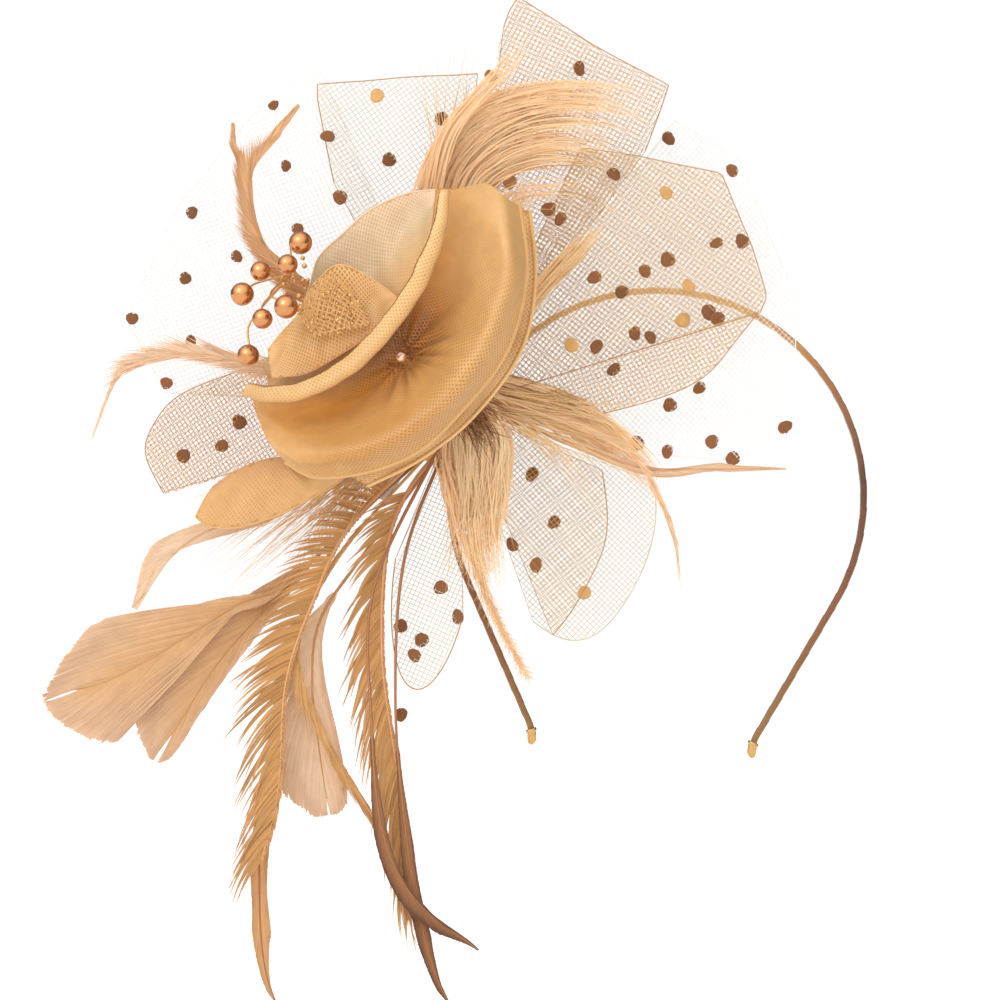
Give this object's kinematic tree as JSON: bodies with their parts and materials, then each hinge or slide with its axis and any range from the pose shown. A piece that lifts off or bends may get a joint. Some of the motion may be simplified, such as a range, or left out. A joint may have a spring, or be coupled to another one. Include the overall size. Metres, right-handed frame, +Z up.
{
  "type": "fascinator headpiece",
  "caption": "Headpiece with a ribbon-wound headband and a sliding flower of mesh petals, dotted net, pearls and long feathers, with a sprung hair clip on its back.",
  "frame": {"origin": "on the inside of the headband at the crown, where it rests on the head", "axes": "+X towards the end of the band away from the flower, +Z up out of the head, +Y behind the flower; the band lies in the XZ plane"},
  "size_m": [0.2611, 0.086, 0.3243],
  "materials": {
    "ribbon": "satin",
    "steel": "polished nickel",
    "gilt": "satin",
    "felt": "felted",
    "tape": "matte",
    "crin": "woven sheen",
    "glitter": "glittered",
    "netting": "sheer",
    "pearl": "pearl coat",
    "feather_peach": "soft",
    "feather_brown": "soft"
  },
  "bodies": {
    "headband": {"headband_core": "steel", "headband_ribbon": "ribbon", "band_tip_left": "gilt", "band_tip_right": "gilt"},
    "flower": {"keeper_upper": "ribbon", "keeper_lower": "ribbon", "clip_base": "steel", "clip_pin": "steel", "clip_spring": "steel", "pearl_stems": "gilt", "felt_backing": "felt", "felt_base": "felt", "stem_binding": "tape", "petal_binding": "tape", "petal_outer_shell": "crin", "petal_outer_back": "crin", "petal_back_cone": "crin", "petal_inner_fan": "crin", "petal_rolled_rim": "crin", "petal_lower": "crin", "glitter_mesh": "glitter", "veil_left": "netting", "veil_right": "netting", "net_top_left": "netting", "net_top_apex": "netting", "net_right_upper": "netting", "net_right_lower": "netting", "net_lobe": "netting", "net_lower_fold": "netting", "net_lower_centre": "netting", "net_lower_left": "netting", "pearl_top": "pearl", "pearl_upper": "pearl", "pearl_left_upper": "pearl", "pearl_left": "pearl", "pearl_right": "pearl", "pearl_lower": "pearl", "pearl_lowest": "pearl", "centre_bead": "pearl", "plume_top": "feather_peach", "plume_side": "feather_peach", "marabou_right": "feather_peach", "marabou_down": "feather_peach", "hackle_down": "feather_peach", "goose_back": "feather_peach", "goose_front": "feather_peach", "goose_centre": "feather_peach", "coque_folded": "feather_peach", "hackle_left": "feather_peach", "hackle_right": "feather_peach", "quill_left": "feather_peach", "biot_left": "feather_peach", "biot_right": "feather_peach", "coque_left": "feather_brown", "coque_right": "feather_brown", "blade_left": "feather_brown", "blade_right_long": "feather_brown", "blade_right_short": "feather_brown", "quill_right": "feather_brown"},
    "clip_lever": {"clip_lever": "steel"}
  },
  "joints": [
    {"name": "flower_slide", "type": "hinge", "parent": "headband", "child": "flower", "pos_m": [0, 0, -0.066], "axis": [0, 1, 0], "range_deg": [-25, 65]},
    {"name": "clip_open", "type": "hinge", "parent": "flower", "child": "clip_lever", "pos_m": [-0.08499, -0.0001, -0.0587], "axis": [-0.9342, 0, 0.3567], "range_deg": [0, 22], "stiffness_Nm_per_rad": 0.12, "springref_deg": -22.92, "deforming": ["clip_spring"]}
  ]
}
